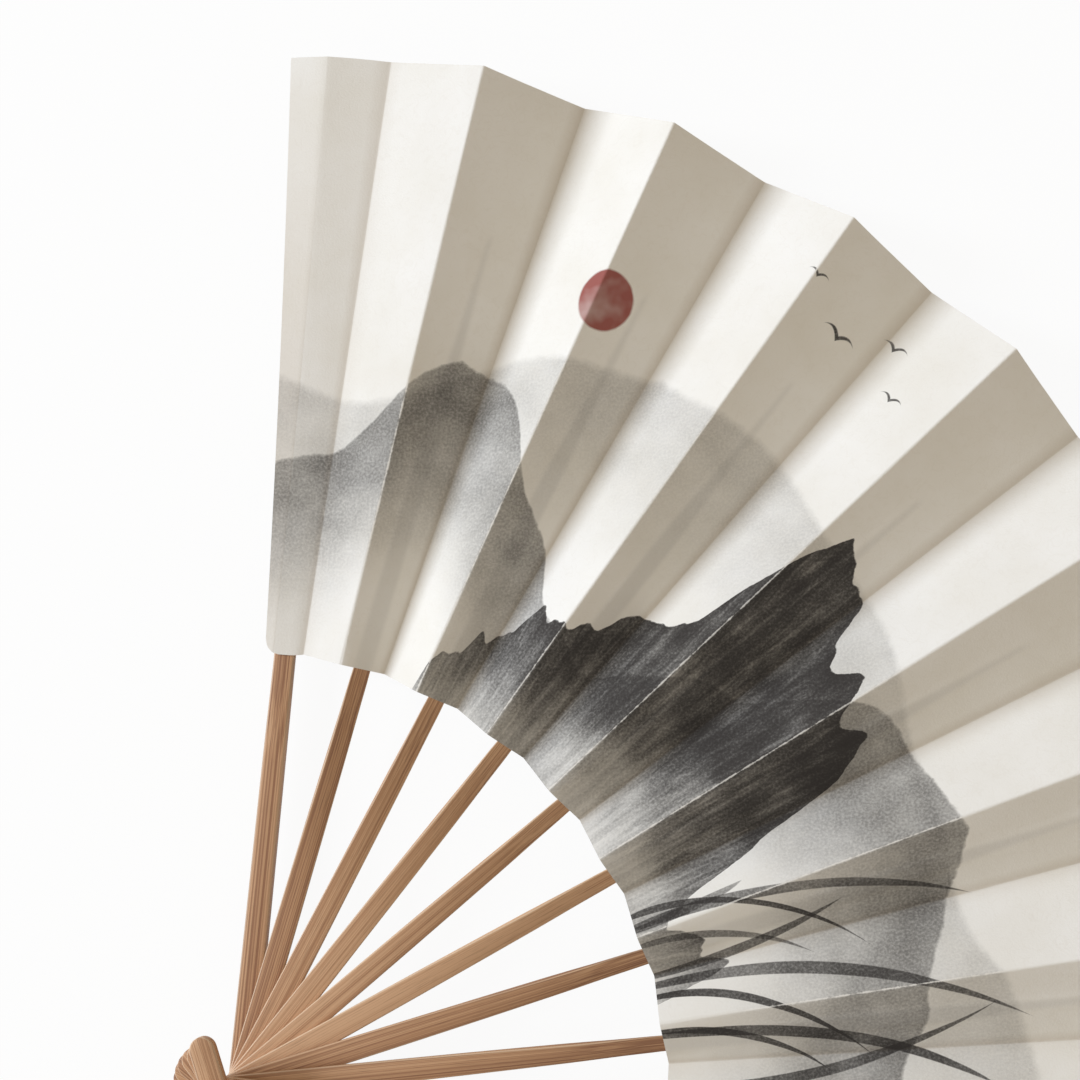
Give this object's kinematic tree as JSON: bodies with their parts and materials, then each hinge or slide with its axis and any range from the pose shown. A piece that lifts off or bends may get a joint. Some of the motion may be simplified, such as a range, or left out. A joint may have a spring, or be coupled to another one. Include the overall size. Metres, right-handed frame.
{
  "type": "folding fan",
  "caption": "Folding hand fan: flat bamboo ribs and two guards turn on a rivet and carry a pleated paper leaf that opens to a wide arc and closes to a slim stack.",
  "frame": {"origin": "centre of the flat face of the rivet's rear head", "axes": "+Z along the rivet, out of the face of the leaf; +Y along the middle of the open spread; the rear guard is on the -X side"},
  "size_m": [0.4204, 0.224, 0.0264],
  "materials": {
    "stained_bamboo": "stained split bamboo with fine lengthwise fibres, satin",
    "slip_bamboo": "thin scraped bamboo, matt",
    "paper": "two plies of fibrous paper, matt, painted with an ink wash on the face",
    "brass": "satin"
  },
  "bodies": {
    "rear_guard": {"rear_guard": "stained_bamboo", "leaf_panel_00": "paper", "rivet": "brass", "rear_washer": "brass", "front_washer": "brass"},
    "front_guard": {"front_guard": "stained_bamboo", "leaf_panel_14": "paper"},
    "rib_01": {"rib_01": "stained_bamboo"},
    "rib_02": {"rib_02": "stained_bamboo"},
    "rib_03": {"rib_03": "stained_bamboo"},
    "rib_04": {"rib_04": "stained_bamboo"},
    "rib_05": {"rib_05": "stained_bamboo"},
    "rib_06": {"rib_06": "stained_bamboo"},
    "rib_07": {"rib_07": "stained_bamboo"},
    "rib_08": {"rib_08": "stained_bamboo"},
    "rib_09": {"rib_09": "stained_bamboo"},
    "rib_10": {"rib_10": "stained_bamboo"},
    "rib_11": {"rib_11": "stained_bamboo"},
    "rib_12": {"rib_12": "stained_bamboo"},
    "rib_13": {"rib_13": "stained_bamboo"},
    "panel_01": {"slip_01": "slip_bamboo", "leaf_panel_01": "paper"},
    "panel_02": {"slip_02": "slip_bamboo", "leaf_panel_02": "paper"},
    "panel_03": {"slip_03": "slip_bamboo", "leaf_panel_03": "paper"},
    "panel_04": {"slip_04": "slip_bamboo", "leaf_panel_04": "paper"},
    "panel_05": {"slip_05": "slip_bamboo", "leaf_panel_05": "paper"},
    "panel_06": {"slip_06": "slip_bamboo", "leaf_panel_06": "paper"},
    "panel_07": {"slip_07": "slip_bamboo", "leaf_panel_07": "paper"},
    "panel_08": {"slip_08": "slip_bamboo", "leaf_panel_08": "paper"},
    "panel_09": {"slip_09": "slip_bamboo", "leaf_panel_09": "paper"},
    "panel_10": {"slip_10": "slip_bamboo", "leaf_panel_10": "paper"},
    "panel_11": {"slip_11": "slip_bamboo", "leaf_panel_11": "paper"},
    "panel_12": {"slip_12": "slip_bamboo", "leaf_panel_12": "paper"},
    "panel_13": {"slip_13": "slip_bamboo", "leaf_panel_13": "paper"},
    "fold_00": {"leaf_fold_00": "paper"},
    "fold_01": {"leaf_fold_01": "paper"},
    "fold_02": {"leaf_fold_02": "paper"},
    "fold_03": {"leaf_fold_03": "paper"},
    "fold_04": {"leaf_fold_04": "paper"},
    "fold_05": {"leaf_fold_05": "paper"},
    "fold_06": {"leaf_fold_06": "paper"},
    "fold_07": {"leaf_fold_07": "paper"},
    "fold_08": {"leaf_fold_08": "paper"},
    "fold_09": {"leaf_fold_09": "paper"},
    "fold_10": {"leaf_fold_10": "paper"},
    "fold_11": {"leaf_fold_11": "paper"},
    "fold_12": {"leaf_fold_12": "paper"},
    "fold_13": {"leaf_fold_13": "paper"}
  },
  "joints": [
    {"name": "fan_fold", "type": "hinge", "parent": "rear_guard", "child": "front_guard", "pos_m": [0, 0, 0.02015], "axis": [0, 0, 1], "range_deg": [0, 156], "deforming": ["leaf_fold_00", "leaf_fold_01", "leaf_fold_02", "leaf_fold_03", "leaf_fold_04", "leaf_fold_05", "leaf_fold_06", "leaf_fold_07", "leaf_fold_08", "leaf_fold_09", "leaf_fold_10", "leaf_fold_11", "leaf_fold_12", "leaf_fold_13"]},
    {"name": "rib_01_turn", "type": "hinge", "parent": "rear_guard", "child": "rib_01", "pos_m": [0, 0, 0.00455], "axis": [0, 0, 1], "range_deg": [0, 11.15]},
    {"name": "rib_02_turn", "type": "hinge", "parent": "rear_guard", "child": "rib_02", "pos_m": [0, 0, 0.00575], "axis": [0, 0, 1], "range_deg": [0, 22.3]},
    {"name": "rib_03_turn", "type": "hinge", "parent": "rear_guard", "child": "rib_03", "pos_m": [0, 0, 0.00695], "axis": [0, 0, 1], "range_deg": [0, 33.44]},
    {"name": "rib_04_turn", "type": "hinge", "parent": "rear_guard", "child": "rib_04", "pos_m": [0, 0, 0.00815], "axis": [0, 0, 1], "range_deg": [0, 44.58]},
    {"name": "rib_05_turn", "type": "hinge", "parent": "rear_guard", "child": "rib_05", "pos_m": [0, 0, 0.00935], "axis": [0, 0, 1], "range_deg": [0, 55.72]},
    {"name": "rib_06_turn", "type": "hinge", "parent": "rear_guard", "child": "rib_06", "pos_m": [0, 0, 0.01055], "axis": [0, 0, 1], "range_deg": [0, 66.87]},
    {"name": "rib_07_turn", "type": "hinge", "parent": "rear_guard", "child": "rib_07", "pos_m": [0, 0, 0.01175], "axis": [0, 0, 1], "range_deg": [0, 78.01]},
    {"name": "rib_08_turn", "type": "hinge", "parent": "rear_guard", "child": "rib_08", "pos_m": [0, 0, 0.01295], "axis": [0, 0, 1], "range_deg": [0, 89.15]},
    {"name": "rib_09_turn", "type": "hinge", "parent": "rear_guard", "child": "rib_09", "pos_m": [0, 0, 0.01415], "axis": [0, 0, 1], "range_deg": [0, 100.3]},
    {"name": "rib_10_turn", "type": "hinge", "parent": "rear_guard", "child": "rib_10", "pos_m": [0, 0, 0.01535], "axis": [0, 0, 1], "range_deg": [0, 111.44]},
    {"name": "rib_11_turn", "type": "hinge", "parent": "rear_guard", "child": "rib_11", "pos_m": [0, 0, 0.01655], "axis": [0, 0, 1], "range_deg": [0, 122.58]},
    {"name": "rib_12_turn", "type": "hinge", "parent": "rear_guard", "child": "rib_12", "pos_m": [0, 0, 0.01775], "axis": [0, 0, 1], "range_deg": [0, 133.72]},
    {"name": "rib_13_turn", "type": "hinge", "parent": "rear_guard", "child": "rib_13", "pos_m": [0, 0, 0.01895], "axis": [0, 0, 1], "range_deg": [0, 144.87]},
    {"name": "panel_01_twist", "type": "hinge", "parent": "rib_01", "child": "panel_01", "pos_m": [0, 0, 0.00455], "axis": [-0.9195, 0.393, 0], "range_deg": [-30.01, 0]},
    {"name": "panel_02_twist", "type": "hinge", "parent": "rib_02", "child": "panel_02", "pos_m": [0, 0, 0.00575], "axis": [-0.8262, 0.5633, 0], "range_deg": [-30.01, 0]},
    {"name": "panel_03_twist", "type": "hinge", "parent": "rib_03", "child": "panel_03", "pos_m": [0, 0, 0.00695], "axis": [-0.7018, 0.7124, 0], "range_deg": [-30.01, 0]},
    {"name": "panel_04_twist", "type": "hinge", "parent": "rib_04", "child": "panel_04", "pos_m": [0, 0, 0.00815], "axis": [-0.5509, 0.8346, 0], "range_deg": [-30.01, 0]},
    {"name": "panel_05_twist", "type": "hinge", "parent": "rib_05", "child": "panel_05", "pos_m": [0, 0, 0.00935], "axis": [-0.3792, 0.9253, 0], "range_deg": [-30.01, 0]},
    {"name": "panel_06_twist", "type": "hinge", "parent": "rib_06", "child": "panel_06", "pos_m": [0, 0, 0.01055], "axis": [-0.1933, 0.9811, 0], "range_deg": [-30.01, 0]},
    {"name": "panel_07_twist", "type": "hinge", "parent": "rib_07", "child": "panel_07", "pos_m": [0, 0, 0.01175], "axis": [0, 1, 0], "range_deg": [-30.01, 0]},
    {"name": "panel_08_twist", "type": "hinge", "parent": "rib_08", "child": "panel_08", "pos_m": [0, 0, 0.01295], "axis": [0.1933, 0.9811, 0], "range_deg": [-30.01, 0]},
    {"name": "panel_09_twist", "type": "hinge", "parent": "rib_09", "child": "panel_09", "pos_m": [0, 0, 0.01415], "axis": [0.3792, 0.9253, 0], "range_deg": [-30.01, 0]},
    {"name": "panel_10_twist", "type": "hinge", "parent": "rib_10", "child": "panel_10", "pos_m": [0, 0, 0.01535], "axis": [0.5509, 0.8346, 0], "range_deg": [-30.01, 0]},
    {"name": "panel_11_twist", "type": "hinge", "parent": "rib_11", "child": "panel_11", "pos_m": [0, 0, 0.01655], "axis": [0.7018, 0.7124, 0], "range_deg": [-30.01, 0]},
    {"name": "panel_12_twist", "type": "hinge", "parent": "rib_12", "child": "panel_12", "pos_m": [0, 0, 0.01775], "axis": [0.8262, 0.5633, 0], "range_deg": [-30.01, 0]},
    {"name": "panel_13_twist", "type": "hinge", "parent": "rib_13", "child": "panel_13", "pos_m": [0, 0, 0.01895], "axis": [0.9195, 0.393, 0], "range_deg": [-30.01, 0]},
    {"name": "fold_00_crease", "type": "hinge", "parent": "rear_guard", "child": "fold_00", "pos_m": [0, 0, 0.0035], "axis": [-0.9673, 0.2537, 0], "range_deg": [-158.13, 0]},
    {"name": "fold_01_crease", "type": "hinge", "parent": "panel_01", "child": "fold_01", "pos_m": [0.00003, 0.00007, 0.00468], "axis": [-0.899, 0.4371, -0.028], "range_deg": [-114.81, 0]},
    {"name": "fold_02_crease", "type": "hinge", "parent": "panel_02", "child": "fold_02", "pos_m": [0.00004, 0.00006, 0.00588], "axis": [-0.7976, 0.6026, -0.028], "range_deg": [-114.81, 0]},
    {"name": "fold_03_crease", "type": "hinge", "parent": "panel_03", "child": "fold_03", "pos_m": [0.00005, 0.00005, 0.00708], "axis": [-0.6661, 0.7453, -0.028], "range_deg": [-114.81, 0]},
    {"name": "fold_04_crease", "type": "hinge", "parent": "panel_04", "child": "fold_04", "pos_m": [0.00006, 0.00004, 0.00828], "axis": [-0.5095, 0.86, -0.028], "range_deg": [-114.81, 0]},
    {"name": "fold_05_crease", "type": "hinge", "parent": "panel_05", "child": "fold_05", "pos_m": [0.00007, 0.00003, 0.00948], "axis": [-0.3337, 0.9423, -0.028], "range_deg": [-114.81, 0]},
    {"name": "fold_06_crease", "type": "hinge", "parent": "panel_06", "child": "fold_06", "pos_m": [0.00007, 0.00001, 0.01068], "axis": [-0.1453, 0.989, -0.028], "range_deg": [-114.81, 0]},
    {"name": "fold_07_crease", "type": "hinge", "parent": "panel_07", "child": "fold_07", "pos_m": [0.00007, 0, 0.01188], "axis": [0.0486, 0.9984, -0.028], "range_deg": [-114.81, 0]},
    {"name": "fold_08_crease", "type": "hinge", "parent": "panel_08", "child": "fold_08", "pos_m": [0.00007, -0.00001, 0.01308], "axis": [0.2406, 0.9702, -0.028], "range_deg": [-114.81, 0]},
    {"name": "fold_09_crease", "type": "hinge", "parent": "panel_09", "child": "fold_09", "pos_m": [0.00007, -0.00003, 0.01428], "axis": [0.4236, 0.9054, -0.028], "range_deg": [-114.81, 0]},
    {"name": "fold_10_crease", "type": "hinge", "parent": "panel_10", "child": "fold_10", "pos_m": [0.00006, -0.00004, 0.01548], "axis": [0.5906, 0.8065, -0.028], "range_deg": [-114.81, 0]},
    {"name": "fold_11_crease", "type": "hinge", "parent": "panel_11", "child": "fold_11", "pos_m": [0.00005, -0.00005, 0.01668], "axis": [0.7353, 0.6772, -0.028], "range_deg": [-114.81, 0]},
    {"name": "fold_12_crease", "type": "hinge", "parent": "panel_12", "child": "fold_12", "pos_m": [0.00004, -0.00006, 0.01788], "axis": [0.8523, 0.5223, -0.028], "range_deg": [-114.81, 0]},
    {"name": "fold_13_crease", "type": "hinge", "parent": "panel_13", "child": "fold_13", "pos_m": [0.00003, -0.00007, 0.01908], "axis": [0.9372, 0.3477, -0.028], "range_deg": [-128.01, 0]}
  ],
  "couplings": [
    {"joint": "rib_01_turn", "follows": "fan_fold", "ratio": 0.071429},
    {"joint": "rib_02_turn", "follows": "fan_fold", "ratio": 0.14286},
    {"joint": "rib_03_turn", "follows": "fan_fold", "ratio": 0.21429},
    {"joint": "rib_04_turn", "follows": "fan_fold", "ratio": 0.28571},
    {"joint": "rib_05_turn", "follows": "fan_fold", "ratio": 0.35714},
    {"joint": "rib_06_turn", "follows": "fan_fold", "ratio": 0.42857},
    {"joint": "rib_07_turn", "follows": "fan_fold", "ratio": 0.5},
    {"joint": "rib_08_turn", "follows": "fan_fold", "ratio": 0.57143},
    {"joint": "rib_09_turn", "follows": "fan_fold", "ratio": 0.64286},
    {"joint": "rib_10_turn", "follows": "fan_fold", "ratio": 0.71429},
    {"joint": "rib_11_turn", "follows": "fan_fold", "ratio": 0.78571},
    {"joint": "rib_12_turn", "follows": "fan_fold", "ratio": 0.85714},
    {"joint": "rib_13_turn", "follows": "fan_fold", "ratio": 0.92857},
    {"joint": "panel_01_twist", "follows": "fan_fold", "ratio": -0.19231},
    {"joint": "panel_02_twist", "follows": "fan_fold", "ratio": -0.19231},
    {"joint": "panel_03_twist", "follows": "fan_fold", "ratio": -0.19231},
    {"joint": "panel_04_twist", "follows": "fan_fold", "ratio": -0.19231},
    {"joint": "panel_05_twist", "follows": "fan_fold", "ratio": -0.19231},
    {"joint": "panel_06_twist", "follows": "fan_fold", "ratio": -0.19231},
    {"joint": "panel_07_twist", "follows": "fan_fold", "ratio": -0.19231},
    {"joint": "panel_08_twist", "follows": "fan_fold", "ratio": -0.19231},
    {"joint": "panel_09_twist", "follows": "fan_fold", "ratio": -0.19231},
    {"joint": "panel_10_twist", "follows": "fan_fold", "ratio": -0.19231},
    {"joint": "panel_11_twist", "follows": "fan_fold", "ratio": -0.19231},
    {"joint": "panel_12_twist", "follows": "fan_fold", "ratio": -0.19231},
    {"joint": "panel_13_twist", "follows": "fan_fold", "ratio": -0.19231},
    {"joint": "fold_00_crease", "follows": "fan_fold", "ratio": -1.0136},
    {"joint": "fold_01_crease", "follows": "fan_fold", "ratio": -0.73591},
    {"joint": "fold_02_crease", "follows": "fan_fold", "ratio": -0.73591},
    {"joint": "fold_03_crease", "follows": "fan_fold", "ratio": -0.73591},
    {"joint": "fold_04_crease", "follows": "fan_fold", "ratio": -0.73591},
    {"joint": "fold_05_crease", "follows": "fan_fold", "ratio": -0.73591},
    {"joint": "fold_06_crease", "follows": "fan_fold", "ratio": -0.73591},
    {"joint": "fold_07_crease", "follows": "fan_fold", "ratio": -0.73591},
    {"joint": "fold_08_crease", "follows": "fan_fold", "ratio": -0.73591},
    {"joint": "fold_09_crease", "follows": "fan_fold", "ratio": -0.73591},
    {"joint": "fold_10_crease", "follows": "fan_fold", "ratio": -0.73591},
    {"joint": "fold_11_crease", "follows": "fan_fold", "ratio": -0.73591},
    {"joint": "fold_12_crease", "follows": "fan_fold", "ratio": -0.73591},
    {"joint": "fold_13_crease", "follows": "fan_fold", "ratio": -0.82051}
  ]
}
